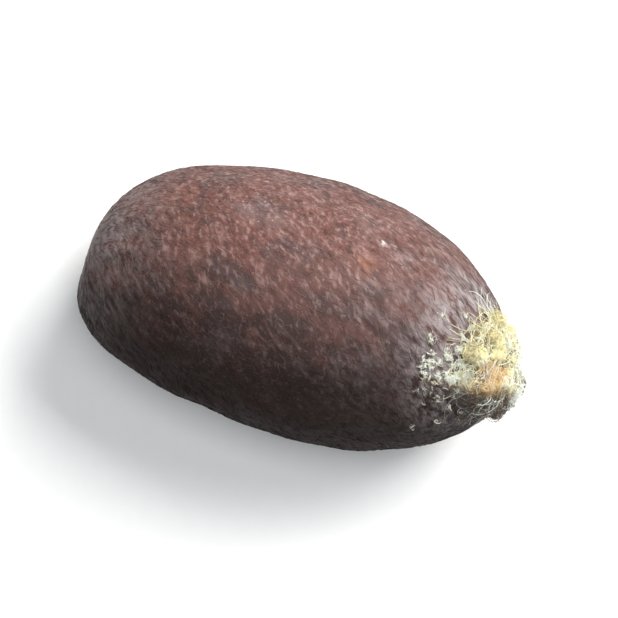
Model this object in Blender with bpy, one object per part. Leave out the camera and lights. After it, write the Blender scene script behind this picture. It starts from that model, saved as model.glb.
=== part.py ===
"""A delinted cotton seed with a tuft of lint left on its pointed end, lying on its side.

Metres, +Z up. The long axis runs along X, with the pointed end towards +X. The origin is the middle
of the seed's footprint, on the surface that it lies on.

The coat is worked out along two parameters: t runs from -1 at the broad end to 1 at the point, and
turn is the angle round the long axis, from +Y over the top (+Z) to -Y.
"""

import math
import random

import bmesh
import bpy
import numpy as np
from mathutils import Matrix, Quaternion, Vector

MM = 0.001

# Driving sizes of the seed
LENGTH = 8.94 * MM
WIDTH = 5.34 * MM
THICKNESS = 4.75 * MM

# Form of the coat: exponents of its outline, broad end and point, and how its axis bows
BROAD_END_FULLNESS = 0.375
POINT_FULLNESS = 0.50
POINT_BEGINS, POINT_ENDS = 0.15, 0.95
SIDE_BOW = -0.28 * MM
BACK_RISE = 0.045
BELLY_STRAIGHTNESS = 0.10 * MM

# The beak that the point is drawn out into
BEAK_LENGTH = 0.16 * MM
BEAK_RADIUS = 0.34 * MM

# The raphe, the seam that runs from the point to the broad end, low on the -Y side
RAPHE_TURN = math.radians(206)
RAPHE_WAVER = math.radians(5)
RAPHE_HEIGHT = 0.10 * MM
RAPHE_HALF_WIDTH = 0.13 * MM
RAPHE_GROOVE_DEPTH = 0.07 * MM
RAPHE_GROOVE_OFFSET = 0.30 * MM
RAPHE_STARTS, RAPHE_ENDS = -0.93, 0.93

# The chalaza, a low-rimmed round scar where the raphe ends
CHALAZA_RADIUS = 0.50 * MM
CHALAZA_RIM = 0.045 * MM
CHALAZA_DISH = 0.05 * MM
CHALAZA_PLACE = -0.965

# Shallow hollows pressed in by the neighbours in the boll: (t, turn in degrees, radius, depth)
DENTS = (
    (-0.30, 8, 1.00 * MM, 0.075 * MM),
    (0.30, 128, 1.50 * MM, 0.070 * MM),
    (-0.45, 68, 1.30 * MM, 0.050 * MM),
    (0.35, 300, 1.60 * MM, 0.090 * MM),
    (-0.35, 165, 1.40 * MM, 0.080 * MM),
)

# Faint lengthwise ribs: (how many round the seed, height, phase in degrees)
RIBS = ((5, 0.022 * MM, 20), (9, 0.016 * MM, 75), (14, 0.010 * MM, 140))

# The flat spot that it rests on, as a depth cut off the belly
REST_SPOT_DEPTH = 0.12 * MM
ROLLS = 80
ROLL_SHARE = 0.12

# The lint: a felted cap on the point, with clumps matted onto it and locks that trail back over the
# coat. More of it is left towards LINT_SIDE, a turn round the long axis.
CAP_GAP = 0.04 * MM
CAP_THICKNESS = 0.16 * MM
CAP_RIM_THICKNESS = 0.14 * MM
CAP_RIM = 0.984
CAP_RIM_RAGGED = 0.009
CAP_TONGUE_LENGTH = 0.225
CAP_TONGUE_SHARPNESS = 5
LINT_SIDE = math.radians(77)
CLUMP_COUNT = 48
CLUMP_SIDE_PULL = 1.6
CLUMP_REACH = 0.98
CLUMP_RADII = (0.08 * MM, 0.17 * MM)
CLUMP_FADE = 2.5
LOCK_COUNT = 46
LOCK_SIDE_PULL = 1.8
LOCK_LENGTHS = (0.08 * MM, 0.75 * MM)
LOCK_THICKNESSES = (0.13 * MM, 0.26 * MM)
LOCK_FADE = 0.5
LOCK_STAND = 0.75
LOCK_SIDES = 6
LOCK_RINGS = 6
LINT_SEED = 12
FELT_STEP = 0.062 * MM
FELT_SHARE = 0.42

# Fineness of the meshes
COAT_MERIDIANS = 92
COAT_RINGS = 50
MERIDIAN_GATHER = 0.55
CAP_MERIDIANS = 40
CAP_RINGS = 7
SLOPE_STEP = 1e-4


def smooth_step(low, high, value):
    """0 below low, 1 above high, and an S-shaped ease between them."""
    share = np.clip((value - low) / (high - low), 0.0, 1.0)
    return share * share * (3 - 2 * share)


def bell(distance, half_width):
    """A bump of height 1 at distance 0."""
    return np.exp(-((distance / half_width) ** 2))


def angle_between(turn, other):
    """The signed turn from other to turn, within half a turn either way."""
    return (turn - other + math.pi) % (2 * math.pi) - math.pi


def plain_radius(t):
    """The outline as a share of the half width: (1 - t²) to a power that grows towards the point."""
    ease = smooth_step(POINT_BEGINS, POINT_ENDS, t)
    power = BROAD_END_FULLNESS + (POINT_FULLNESS - BROAD_END_FULLNESS) * ease
    return np.clip(1 - t * t, 0.0, 1.0) ** power


def plain_point(t, turn):
    """The coat with no relief: ovals stacked along an axis whose two ends bow to -Y."""
    radius = plain_radius(t)
    back = 1 + BACK_RISE * np.sin(turn)
    x = t * LENGTH / 2
    y = radius * np.cos(turn) * WIDTH / 2 + SIDE_BOW * t**4
    z = radius * np.sin(turn) * back * THICKNESS / 2 + BELLY_STRAIGHTNESS * t * t
    return np.stack([x, y, z], axis=-1)


def raphe_turn(t):
    """The raphe's place round the seed, which wavers a little along its way."""
    return RAPHE_TURN + RAPHE_WAVER * np.sin(2.2 * t + 0.6)


def raphe_relief(t, turn):
    """A rounded ridge with a narrower groove along its upper side, fading out at both ends."""
    radius = plain_radius(t) * WIDTH / 2
    across = angle_between(turn, raphe_turn(t)) * radius
    there = smooth_step(RAPHE_STARTS, RAPHE_STARTS + 0.12, t)
    there = there * (1 - smooth_step(RAPHE_ENDS - 0.05, RAPHE_ENDS, t))
    ridge = RAPHE_HEIGHT * bell(across, RAPHE_HALF_WIDTH)
    groove = RAPHE_GROOVE_DEPTH * bell(across + RAPHE_GROOVE_OFFSET, RAPHE_HALF_WIDTH)
    return (ridge - groove) * there


def chalaza_relief(t, turn):
    """A dished disc with a low rim, just off the broad end on the raphe's side."""
    centre = plain_point(np.float64(CHALAZA_PLACE), np.float64(RAPHE_TURN))
    away = np.linalg.norm(plain_point(t, turn) - centre, axis=-1)
    rim = CHALAZA_RIM * bell(away - CHALAZA_RADIUS, CHALAZA_RADIUS / 4)
    dish = CHALAZA_DISH * bell(away, CHALAZA_RADIUS / 1.4)
    return rim - dish


def beak_relief(t, turn):
    """A small nipple on the point."""
    tip = plain_point(np.float64(1.0), np.float64(0.0))
    away = np.linalg.norm(plain_point(t, turn) - tip, axis=-1)
    return BEAK_LENGTH * bell(away, BEAK_RADIUS)


def dent_relief(t, turn):
    """The sum of the shallow hollows."""
    relief = np.zeros(np.broadcast(t, turn).shape)
    for dent_t, dent_degrees, dent_radius, depth in DENTS:
        centre = plain_point(np.float64(dent_t), np.float64(math.radians(dent_degrees)))
        away = np.linalg.norm(plain_point(t, turn) - centre, axis=-1)
        relief = relief - depth * bell(away, dent_radius)
    return relief


def rib_relief(t, turn):
    """Waves round the seed, strongest where it is widest, that swing a little along the way."""
    swing = 0.25 * np.sin(1.7 * t)
    waves = [
        height * np.cos(count * (turn + swing) + math.radians(phase))
        for count, height, phase in RIBS
    ]
    return sum(waves) * plain_radius(t)


def relief(t, turn):
    """How far the coat stands above its plain oval, in metres."""
    parts = (raphe_relief, chalaza_relief, beak_relief, dent_relief, rib_relief)
    return sum(part(t, turn) for part in parts)


def plain_normal(t, turn):
    """The outward direction of the plain coat, from the cross product of its two slopes."""
    t = np.clip(t, -1 + 2 * SLOPE_STEP, 1 - 2 * SLOPE_STEP)
    along = plain_point(t + SLOPE_STEP, turn) - plain_point(t - SLOPE_STEP, turn)
    around = plain_point(t, turn + SLOPE_STEP) - plain_point(t, turn - SLOPE_STEP)
    normal = np.cross(around, along)
    return normal / np.linalg.norm(normal, axis=-1, keepdims=True)


def above_coat(t, turn, height):
    """A point at that height above the finished coat."""
    t, turn = np.broadcast_arrays(np.float64(t), np.float64(turn))
    lift = relief(t, turn) + height
    return plain_point(t, turn) + plain_normal(t, turn) * lift[..., None]


def gathered_turns(count):
    """Meridians round the seed, closer together where they meet the raphe."""
    even = np.arange(count) * (2 * math.pi / count)
    return RAPHE_TURN + even - MERIDIAN_GATHER * np.sin(even)


def ringed_mesh(name, start, rings, end):
    """A closed mesh: a point at each end and rings of points between them, all counted alike."""
    mesh = bmesh.new()
    first = mesh.verts.new(start)
    rows = [[mesh.verts.new(point) for point in ring] for ring in rings]
    last = mesh.verts.new(end)
    sides = len(rows[0])
    for i in range(sides):
        j = (i + 1) % sides
        mesh.faces.new((first, rows[0][j], rows[0][i]))
        for low, high in zip(rows, rows[1:]):
            mesh.faces.new((low[i], low[j], high[j], high[i]))
        mesh.faces.new((last, rows[-1][i], rows[-1][j]))
    bmesh.ops.recalc_face_normals(mesh, faces=mesh.faces)
    data = bpy.data.meshes.new(name)
    mesh.to_mesh(data)
    mesh.free()
    return data


def new_object(name, data, material, parent):
    """An object in the scene with smooth shading, one material and a parent."""
    obj = bpy.data.objects.new(name, data)
    bpy.context.scene.collection.objects.link(obj)
    data.materials.append(material)
    data.shade_smooth()
    obj.parent = parent
    return obj


def new_material(name, colour, roughness):
    """A plain non-metal finish."""
    material = bpy.data.materials.new(name)
    material.use_nodes = True
    shader = material.node_tree.nodes["Principled BSDF"]
    shader.inputs["Base Color"].default_value = (*colour, 1)
    shader.inputs["Roughness"].default_value = roughness
    shader.inputs["Metallic"].default_value = 0.0
    return material


def make_coat(parent):
    """The whole seed as one solid, rings of points from the broad end to the point."""
    turns = gathered_turns(COAT_MERIDIANS)
    steps = np.arange(1, COAT_RINGS + 1) / (COAT_RINGS + 1)
    rings = [above_coat(-math.cos(math.pi * step), turns, 0.0) for step in steps]
    start = above_coat(-1.0, RAPHE_TURN, 0.0)
    end = above_coat(1.0, RAPHE_TURN, 0.0)
    brown = new_material("seed_coat", (0.115, 0.062, 0.050), 0.62)
    return new_object("seed_coat", ringed_mesh("seed_coat", start, rings, end), brown, parent)


def on_lint_side(turn):
    """How far a turn lies on the lint's side: 1 right on it, 0 across the seed from it."""
    return 0.5 + 0.5 * np.cos(turn - LINT_SIDE)


def cap_rim(turn):
    """Where the felted cap ends: a ragged line close round the point, with a tongue on one side."""
    waves = np.sin(5 * turn + 0.4) + 0.7 * np.sin(8 * turn + 2.1) + 0.5 * np.sin(13 * turn)
    tongue = on_lint_side(turn) ** CAP_TONGUE_SHARPNESS
    return CAP_RIM + CAP_RIM_RAGGED * waves / 2.2 - CAP_TONGUE_LENGTH * tongue


def cap_surface(turns, share, height):
    """A ring of the cap: share runs from 0 at its middle, on the point, to 1 at its rim."""
    rim_angle = np.arccos(np.clip(cap_rim(turns), -1.0, 1.0))
    return above_coat(np.cos(rim_angle * share), turns, height)


def cap_height(turns, share):
    """The felt's thickness: lumpy, thickest on the point, thinning to the rim."""
    lumps = 1 + 0.25 * np.sin(4 * turns + 9 * share) + 0.20 * np.sin(7 * turns - 7 * share)
    dome = CAP_RIM_THICKNESS + (CAP_THICKNESS - CAP_RIM_THICKNESS) * (1 - share**2)
    return CAP_GAP + dome * lumps


def make_cap(material, parent):
    """The felted cap, a thick skin over the point: out along its top, round the rim, back under."""
    turns = np.arange(CAP_MERIDIANS) * (2 * math.pi / CAP_MERIDIANS)
    shares = np.arange(1, CAP_RINGS + 1) / CAP_RINGS
    outer = [cap_surface(turns, share, cap_height(turns, share)) for share in shares]
    inner = [cap_surface(turns, share, CAP_GAP) for share in shares[::-1]]
    top = above_coat(1.0, 0.0, CAP_GAP + CAP_THICKNESS)
    bottom = above_coat(1.0, 0.0, CAP_GAP)
    data = ringed_mesh("lint_tuft", top, outer + inner, bottom)
    return new_object("lint_tuft", data, material, parent)


def make_clump(name, draw, material, parent):
    """One clump of lint: a ball sunk in the cap, largest at the rim and on the lint's side."""
    turn = draw.vonmisesvariate(LINT_SIDE, CLUMP_SIDE_PULL)
    share = CLUMP_REACH * math.sqrt(draw.random())
    smallest, largest = CLUMP_RADII
    radius = (smallest + (largest - smallest) * min(share, 1.0)) * draw.uniform(0.75, 1.0)
    radius = radius * float(on_lint_side(turn)) ** CLUMP_FADE
    middle = Vector(cap_surface(turn, share, CAP_GAP * 1.5 + radius))
    mesh = bmesh.new()
    at_middle = Matrix.Translation(middle)
    bmesh.ops.create_icosphere(mesh, subdivisions=2, radius=radius, matrix=at_middle)
    data = bpy.data.meshes.new(name)
    mesh.to_mesh(data)
    mesh.free()
    return new_object(name, data, material, parent)


def make_lock(name, draw, material, parent):
    """One lock of lint: a tapering tube from inside the cap. The long ones lie back over the coat."""
    turn = draw.vonmisesvariate(LINT_SIDE, LOCK_SIDE_PULL)
    side = float(on_lint_side(turn))
    share = draw.random() ** 2 * side**2
    shortest, longest = LOCK_LENGTHS
    length = shortest + (longest - shortest) * share
    thickness = draw.uniform(*LOCK_THICKNESSES) * (1 - LOCK_FADE * (1 - side))
    stand = LOCK_STAND * draw.random() * (1 - share) ** 2
    rim = float(cap_rim(turn))
    root = rim + (1 - rim) * draw.random()
    sweep = draw.uniform(-0.5, 0.5)
    rings = []
    for step in np.linspace(0, 1, LOCK_RINGS):
        radius = thickness / 2 * (1 - 0.75 * step**1.3)
        t = root - step * (1 - stand) * length / (LENGTH / 2)
        here = turn + sweep * step * step
        height = CAP_GAP * 1.5 + radius + stand * length * step
        middle = Vector(above_coat(t, here, height))
        ahead = Vector(above_coat(t - 0.01, here + 0.02 * sweep * step, height)) - middle
        frame = ahead.to_track_quat("Z", "Y").to_matrix()
        rings.append([middle + frame @ spoke for spoke in spokes(radius)])
    data = ringed_mesh(name, ring_middle(rings[0]), rings, ring_middle(rings[-1]))
    return new_object(name, data, material, parent)


def spokes(radius):
    """The corners of a regular polygon about the Z axis."""
    turns = [2 * math.pi * i / LOCK_SIDES for i in range(LOCK_SIDES)]
    return [Vector((radius * math.cos(a), radius * math.sin(a), 0)) for a in turns]


def ring_middle(ring):
    """The average of a ring's points."""
    return sum(ring, Vector()) / len(ring)


def apply_modifiers(obj):
    """Replaces an object's mesh by what its modifiers make of it."""
    bpy.context.view_layer.update()
    evaluated = obj.evaluated_get(bpy.context.evaluated_depsgraph_get())
    obj.data = bpy.data.meshes.new_from_object(evaluated)
    obj.modifiers.clear()


def fuse(obj, others):
    """Joins the others into obj with one Boolean union, applies it and removes them."""
    group = bpy.data.collections.new(obj.name + "_parts")
    for other in others:
        group.objects.link(other)
    union = obj.modifiers.new("fuse", "BOOLEAN")
    union.operation = "UNION"
    union.operand_type = "COLLECTION"
    union.collection = group
    union.solver = "MANIFOLD"
    apply_modifiers(obj)
    for other in others:
        bpy.data.objects.remove(other)
    bpy.data.collections.remove(group)


def keep_outer_shell(obj):
    """Fills the hollows that the lint encloses: only the widest shell stays."""
    mesh = bmesh.new()
    mesh.from_mesh(obj.data)
    left = set(mesh.verts)
    shells = []
    while left:
        shell, edge_of_shell = set(), [next(iter(left))]
        while edge_of_shell:
            vertex = edge_of_shell.pop()
            if vertex not in shell:
                shell.add(vertex)
                edge_of_shell.extend(edge.other_vert(vertex) for edge in vertex.link_edges)
        shells.append(shell)
        left -= shell
    widest = max(shells, key=len)
    inner = [vertex for shell in shells if shell is not widest for vertex in shell]
    bmesh.ops.delete(mesh, geom=inner, context="VERTS")
    mesh.to_mesh(obj.data)
    mesh.free()


def felt(obj):
    """Mats the tuft into one soft-edged body of even fineness, then thins out its faces.

    The remesher takes no step under 0.1 mm, so this is done at a thousand times the size.
    """
    obj.data.transform(Matrix.Scale(1 / MM, 4))
    mat = obj.modifiers.new("mat", "REMESH")
    mat.mode = "VOXEL"
    mat.voxel_size = FELT_STEP / MM
    thin = obj.modifiers.new("thin", "DECIMATE")
    thin.ratio = FELT_SHARE
    apply_modifiers(obj)
    obj.data.transform(Matrix.Scale(MM, 4))


def make_lint(parent):
    """The tuft: the felted cap with its clumps and locks fused in, in one solid clear of the coat."""
    cream = new_material("lint_tuft", (0.78, 0.70, 0.42), 0.85)
    draw = random.Random(LINT_SEED)
    cap = make_cap(cream, parent)
    clumps = [make_clump(f"clump_{i}", draw, cream, parent) for i in range(CLUMP_COUNT)]
    locks = [make_lock(f"lock_{i}", draw, cream, parent) for i in range(LOCK_COUNT)]
    fuse(cap, clumps + locks)
    felt(cap)
    keep_outer_shell(cap)
    cap.data.shade_smooth()
    return cap


def volume_centre(points, faces):
    """The centre of mass of a closed mesh, from the tetrahedra between its triangles and the origin."""
    a, b, c = (points[faces[:, i]] for i in range(3))
    volumes = np.einsum("ij,ij->i", a, np.cross(b, c))
    return (volumes[:, None] * (a + b + c)).sum(axis=0) / (4 * volumes.sum())


def triangles(obj):
    """A mesh object's points and triangles as arrays."""
    data = obj.data
    data.calc_loop_triangles()
    points = np.array([vertex.co for vertex in data.vertices])
    faces = np.array([triangle.vertices for triangle in data.loop_triangles])
    return points, faces


def resting_turn(coat):
    """The rotation that lays the seed on its side as it would come to rest.

    A foot is the middle of the points that the flat spot will cut off. While it isn't under the
    centre of mass, the seed rolls a little off it, as a real one does.
    """
    points, faces = triangles(coat)
    points = points - volume_centre(points, faces)
    turned = Matrix.Identity(3)
    for _ in range(ROLLS):
        heights = points[:, 2] - points[:, 2].min()
        foot = Vector(points[heights < REST_SPOT_DEPTH].mean(axis=0))
        whole = Vector((0, 0, -1)).rotation_difference(foot)
        step = Quaternion().slerp(whole, ROLL_SHARE).to_matrix()
        turned = step @ turned
        points = points @ np.array(step).T
    return turned


def cut_rest_spot(coat, turned):
    """Slices the flat spot off the belly, level once the seed lies in its resting turn."""
    up = turned.inverted() @ Vector((0, 0, 1))
    lowest = min((vertex.co for vertex in coat.data.vertices), key=lambda point: point.dot(up))
    mesh = bmesh.new()
    mesh.from_mesh(coat.data)
    cut = bmesh.ops.bisect_plane(
        mesh,
        geom=[*mesh.verts, *mesh.edges, *mesh.faces],
        dist=1e-8,
        plane_co=lowest + up * REST_SPOT_DEPTH,
        plane_no=-up,
        clear_outer=True,
    )
    rim = [item for item in cut["geom_cut"] if isinstance(item, bmesh.types.BMEdge)]
    bmesh.ops.contextual_create(mesh, geom=rim)
    bmesh.ops.recalc_face_normals(mesh, faces=mesh.faces)
    mesh.to_mesh(coat.data)
    mesh.free()


def stand_at_origin(holder, pieces, turned):
    """Turns the holder and moves it, so that the origin is the middle of the seed's footprint."""
    holder.rotation_mode = "QUATERNION"
    holder.rotation_quaternion = turned.to_quaternion()
    bpy.context.view_layer.update()
    corners = [piece.matrix_world @ v.co for piece in pieces for v in piece.data.vertices]
    low = [min(corner[axis] for corner in corners) for axis in range(3)]
    high = [max(corner[axis] for corner in corners) for axis in range(3)]
    holder.location = (-(low[0] + high[0]) / 2, -(low[1] + high[1]) / 2, -low[2])


def main():
    for obj in list(bpy.data.objects):
        bpy.data.objects.remove(obj)
    holder = bpy.data.objects.new("cotton_seed", None)
    bpy.context.scene.collection.objects.link(holder)
    coat = make_coat(holder)
    lint = make_lint(holder)
    turned = resting_turn(coat)
    cut_rest_spot(coat, turned)
    stand_at_origin(holder, [coat, lint], turned)


main()
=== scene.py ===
"""Dresses the cotton seed: its velvety coat, the short nap on it and the lint left on its point.

Lengths in the shape functions are millimetres in the seed's own frame, where the long axis is X
and the point is at +X. A spot on the coat is given by t, which runs from -1 at the broad end to 1
at the point, and turn, the angle round the long axis from +Y over the top to -Y. lie() turns such
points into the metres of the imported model.
"""

import math
import random

import bpy
import numpy as np
from mathutils import Matrix, Quaternion, Vector


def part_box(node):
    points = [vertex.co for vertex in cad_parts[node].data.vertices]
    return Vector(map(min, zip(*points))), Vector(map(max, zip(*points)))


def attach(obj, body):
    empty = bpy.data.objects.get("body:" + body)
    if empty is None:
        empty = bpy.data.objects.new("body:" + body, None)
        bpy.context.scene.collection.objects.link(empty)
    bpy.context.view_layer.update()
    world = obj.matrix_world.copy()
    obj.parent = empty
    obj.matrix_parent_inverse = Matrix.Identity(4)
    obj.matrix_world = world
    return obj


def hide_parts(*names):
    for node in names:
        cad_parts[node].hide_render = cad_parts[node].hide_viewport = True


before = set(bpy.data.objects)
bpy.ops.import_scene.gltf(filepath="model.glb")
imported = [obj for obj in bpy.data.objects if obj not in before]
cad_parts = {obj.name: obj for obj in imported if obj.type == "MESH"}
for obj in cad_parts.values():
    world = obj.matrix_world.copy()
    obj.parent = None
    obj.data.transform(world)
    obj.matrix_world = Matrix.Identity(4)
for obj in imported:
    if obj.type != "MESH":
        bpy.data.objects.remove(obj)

bl_info = {
    "name": "Cotton seed",
    "version": (1, 0, 0),
    "blender": (4, 5, 0),
    "location": "3D View > Sidebar > Cotton seed",
    "description": "Builds the coat, nap and lint of a cotton seed round its packed solids",
    "category": "Add Mesh",
}

MM = 0.001

# The form of the coat, with the values of the part's source
LENGTH, WIDTH, THICKNESS = 8.94, 5.34, 4.75
BROAD_END_FULLNESS, POINT_FULLNESS = 0.375, 0.50
POINT_BEGINS, POINT_ENDS = 0.15, 0.95
SIDE_BOW, BACK_RISE, BELLY_STRAIGHTNESS = -0.28, 0.045, 0.10
BEAK_LENGTH, BEAK_RADIUS = 0.16, 0.34
RAPHE_TURN, RAPHE_WAVER = math.radians(206), math.radians(5)
RAPHE_HEIGHT, RAPHE_HALF_WIDTH = 0.10, 0.13
RAPHE_GROOVE_DEPTH, RAPHE_GROOVE_OFFSET = 0.07, 0.30
RAPHE_STARTS, RAPHE_ENDS = -0.93, 0.93
CHALAZA_RADIUS, CHALAZA_RIM, CHALAZA_DISH, CHALAZA_PLACE = 0.50, 0.045, 0.05, -0.965
DENTS = (
    (-0.30, 8, 1.00, 0.075),
    (0.30, 128, 1.50, 0.070),
    (-0.45, 68, 1.30, 0.050),
    (0.35, 300, 1.60, 0.090),
    (-0.35, 165, 1.40, 0.080),
)
RIBS = ((5, 0.022, 20), (9, 0.016, 75), (14, 0.010, 140))

# How the seed lies: its turn and its place, as the part's source lays it
LIE_TURN = Quaternion((0.999492, 0.031866, -0.000803, -0.000056))
LIE_PLACE = (-0.18413, -0.03571, 2.15435)

# The lint, with the values of the part's source
CAP_GAP, CAP_THICKNESS, CAP_RIM_THICKNESS = 0.04, 0.16, 0.14
CAP_RIM, CAP_RIM_RAGGED = 0.984, 0.009
CAP_TONGUE_LENGTH, CAP_TONGUE_SHARPNESS = 0.225, 5
LINT_SIDE = math.radians(77)
CLUMP_COUNT, CLUMP_SIDE_PULL, CLUMP_REACH = 48, 1.6, 0.98
CLUMP_RADII, CLUMP_FADE = (0.08, 0.17), 2.5
LOCK_COUNT, LOCK_SIDE_PULL = 46, 1.8
LOCK_LENGTHS, LOCK_THICKNESSES, LOCK_FADE, LOCK_STAND = (0.08, 0.75), (0.13, 0.26), 0.5, 0.75
LINT_SEED = 12

# Marks on the coat, each at (t, turn in degrees): a warm spot, an ochre tint and a pale speck
WARM_SPOT, WARM_SPOT_RADIUS = (0.2305, 60.0), 0.23
OCHRE_TINT, OCHRE_TINT_RADIUS, OCHRE_TINT_SHARE = (-0.66, 42.0), 0.65, 0.25
PALE_SPECK, PALE_SPECK_RADIUS = (0.2785, 44.6), 0.042

# Fine relief of the coat: the height of its slow lumps, and how long lumps, wrinkles and pits are
LUMP_HEIGHT, LUMP_LENGTH, WRINKLE_LENGTH, PIT_LENGTH = 0.011, 1.6, 0.24, 0.42

# The turn round the seed where the painted light is brightest, on the upper +Y side
PAINTED_LIGHT_TURN = math.radians(30)

# How thick the grey bloom is: in a ring round the lint and wide about it; on the broad end it is
# a painted sheen
BLOOM_RING, BLOOM_WIDE, PAINTED_SHEEN_END = 0.80, 0.20, 0.42

# Colours of the coat's small markings. The pale ones are fuzz and specks on the coat, but show only
# where the painted light is bright, so they are partly painted highlights
PALE_STREAKS, PALE_FLECKS = (0.33, 0.215, 0.20), (0.37, 0.255, 0.24)
PALE_GRAIN, PALE_DOTS = (0.30, 0.20, 0.185), (0.42, 0.34, 0.31)
WARM_COLOUR, SPECK_COLOUR = (0.27, 0.102, 0.050), (0.86, 0.82, 0.76)
# The ridge colour is a painted highlight on the raphe's ridge
PAINTED_RIDGE_HIGHLIGHT, SCAR_COLOUR = (0.150, 0.088, 0.066), (0.022, 0.015, 0.014)

# The way the nap is combed over the top, turned from the seed's length towards -Y
COMB_TURN = math.radians(38)

# Hairs of the nap: how far they stray and bend, in radians, how high they rise, how deep they root
NAP_STRAY, NAP_BEND = 0.22, 0.35
NAP_LIFTS, NAP_ROOT = (0.003, 0.012), 0.003

# Colours of the lint, in mm from above: a tan stain at its heart at (x, y), the painted shade of
# the low -Y side in gold then umber, and a white painted highlight on the far end; each of these
# last three from where it begins to where it is full
TAN_HEART, TAN_HEART_RADIUS = (3.90, -0.28), 0.64
GOLD_SHADE_SIDE, UMBER_SHADE_SIDE, WHITE_HIGHLIGHT_END = (-0.86, -1.06), (-1.00, -1.20), (4.20, 4.52)

# The felt: how deep it lies under the mat's height and under the coat, and the fluff on it
FELT_UNDER_MAT, FELT_UNDER_COAT = 0.035, -0.02
FLUFF_HEIGHT, FLUFF_LENGTH = 0.022, 0.16

# Lengths of the fibres on the clumps and in the mat, and how far loose ends stand off
CLUMP_FIBRE_LENGTHS, MAT_FIBRE_LENGTHS = (0.16, 0.50), (0.25, 0.80)
CLUMP_LOOSE_END, NUB_LOOSE_END = 0.20, 0.12

# The nubs lie behind the tuft: from t of NUBS_FRONT back by up to NUBS_REACH, about NUBS_SIDE
NUBS_FRONT, NUBS_REACH, NUBS_SIDE, NUBS_SPREAD = 0.84, 0.25, LINT_SIDE + 0.33, 0.22
NUB_FIBRES, NUB_SIZES = 30, (0.03, 0.08)

# Loose fibres, of which every fourth droops from the tuft's low side
WISPS, WISP_LENGTHS, DROOP_EVERY = 420, (0.12, 0.60), 4

# Seeds of the random draws
NAP_SEEDS, CLUMP_SEED, LOCK_SEED, MAT_SEED, NUB_SEED, WISP_SEED = (21, 22), 41, 43, 51, 61, 71

# The light and the camera, in metres
WINDOW_WAY, WINDOW_DISTANCE, WINDOW_SIZE = (0.70, 0.74, 0.95), 0.12, 0.07
CEILING_HEIGHT, CEILING_SIZE = 0.2, 0.12
WINDOW_COLOUR, CEILING_COLOUR = (1.0, 0.985, 0.96), (0.96, 0.98, 1.0)
SKY_COLOUR = (0.95, 0.98, 1.0, 1)
LENS, CLIP_START = 240, 0.001

SLOPE_STEP = 1e-4

# What every colour setting shares
COLOUR = {"subtype": "COLOR", "size": 3, "min": 0, "max": 1}


class CoatSettings(bpy.types.PropertyGroup):
    """The seed coat's colours and relief."""

    # Dark brown is the coat's darkest tone, and its painted shade below and in the raphe's groove
    dark: bpy.props.FloatVectorProperty(
        name="Dark brown", description="Colour of the coat where it is darkest",
        **COLOUR, default=(0.0202, 0.0124, 0.0110))
    brown: bpy.props.FloatVectorProperty(
        name="Brown", description="Main colour of the coat",
        **COLOUR, default=(0.059, 0.034, 0.0310))
    red: bpy.props.FloatVectorProperty(
        name="Red-brown", description="Colour of the coat's warm patches",
        **COLOUR, default=(0.143, 0.064, 0.054))
    mauve: bpy.props.FloatVectorProperty(
        name="Mauve", description="Colour of the coat's greyish patches",
        **COLOUR, default=(0.132, 0.079, 0.079))
    # The bloom colour is also the grey painted sheen on the broad end
    bloom_and_sheen: bpy.props.FloatVectorProperty(
        name="Bloom", description="Colour of the greyish bloom",
        **COLOUR, default=(0.30, 0.272, 0.275))
    wrinkle_depth: bpy.props.FloatProperty(
        name="Wrinkle depth", description="Depth of the fine wrinkles, in mm",
        min=0, max=0.05, precision=4, default=0.0028)
    around: bpy.props.IntProperty(
        name="Points around", description="Points in each ring",
        min=32, max=420, default=320)
    along: bpy.props.IntProperty(
        name="Rings along", description="Rings from the broad end to the point",
        min=32, max=320, default=240)


class NapSettings(bpy.types.PropertyGroup):
    """The short flat nap all over the coat."""

    hairs: bpy.props.IntProperty(
        name="Hairs", description="Hairs in each of the two layers of nap",
        min=100, max=13500, default=8500)
    length: bpy.props.FloatVectorProperty(
        name="Length", description="Shortest and longest hair, in mm",
        size=2, min=0.01, max=1, precision=3, default=(0.08, 0.34))
    radius: bpy.props.FloatProperty(
        name="Radius", description="Radius of a hair at its root, in mm",
        min=0.001, max=0.05, precision=4, default=0.0040)
    pale: bpy.props.FloatVectorProperty(
        name="Pale hair", description="Colour of the palest hairs",
        **COLOUR, default=(0.42, 0.32, 0.30))


class LintSettings(bpy.types.PropertyGroup):
    """The tuft of lint on the point."""

    cream: bpy.props.FloatVectorProperty(
        name="Cream", description="Main colour of the lint",
        **COLOUR, default=(0.89, 0.83, 0.48))
    # White is the palest fibres' own colour, and the painted highlight on the far end
    white: bpy.props.FloatVectorProperty(
        name="White", description="Colour of the palest fibres",
        **COLOUR, default=(0.87, 0.92, 0.84))
    tan: bpy.props.FloatVectorProperty(
        name="Tan", description="Colour of the stained lint",
        **COLOUR, default=(0.78, 0.54, 0.27))
    # Dark gold is the darkest fibres' own colour, and the first painted shade low on the -Y side
    gold: bpy.props.FloatVectorProperty(
        name="Dark gold", description="Colour of the darkest fibres and the low side",
        **COLOUR, default=(0.30, 0.19, 0.06))
    # Umber is painted shade, in the gaps of the mat and low on the lint's -Y side
    umber: bpy.props.FloatVectorProperty(
        name="Umber", description="Colour of the gaps and of the lint low on its -Y side",
        **COLOUR, default=(0.080, 0.052, 0.029))
    radius: bpy.props.FloatProperty(
        name="Radius", description="Radius of a lint fibre, in mm",
        min=0.002, max=0.05, precision=4, default=0.0065)
    clump_fibres: bpy.props.IntProperty(
        name="Fibres a clump", description="Fibres curled round each clump",
        min=4, max=100, default=80)
    lock_fibres: bpy.props.IntProperty(
        name="Fibres a lock", description="Fibres in each lock",
        min=4, max=60, default=34)
    mat_fibres: bpy.props.IntProperty(
        name="Matted fibres", description="Curled fibres that lie over the clumps",
        min=100, max=4000, default=750)
    nubs: bpy.props.IntProperty(
        name="Nubs", description="Small white tangles on the coat behind the tuft",
        min=10, max=300, default=190)


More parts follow.
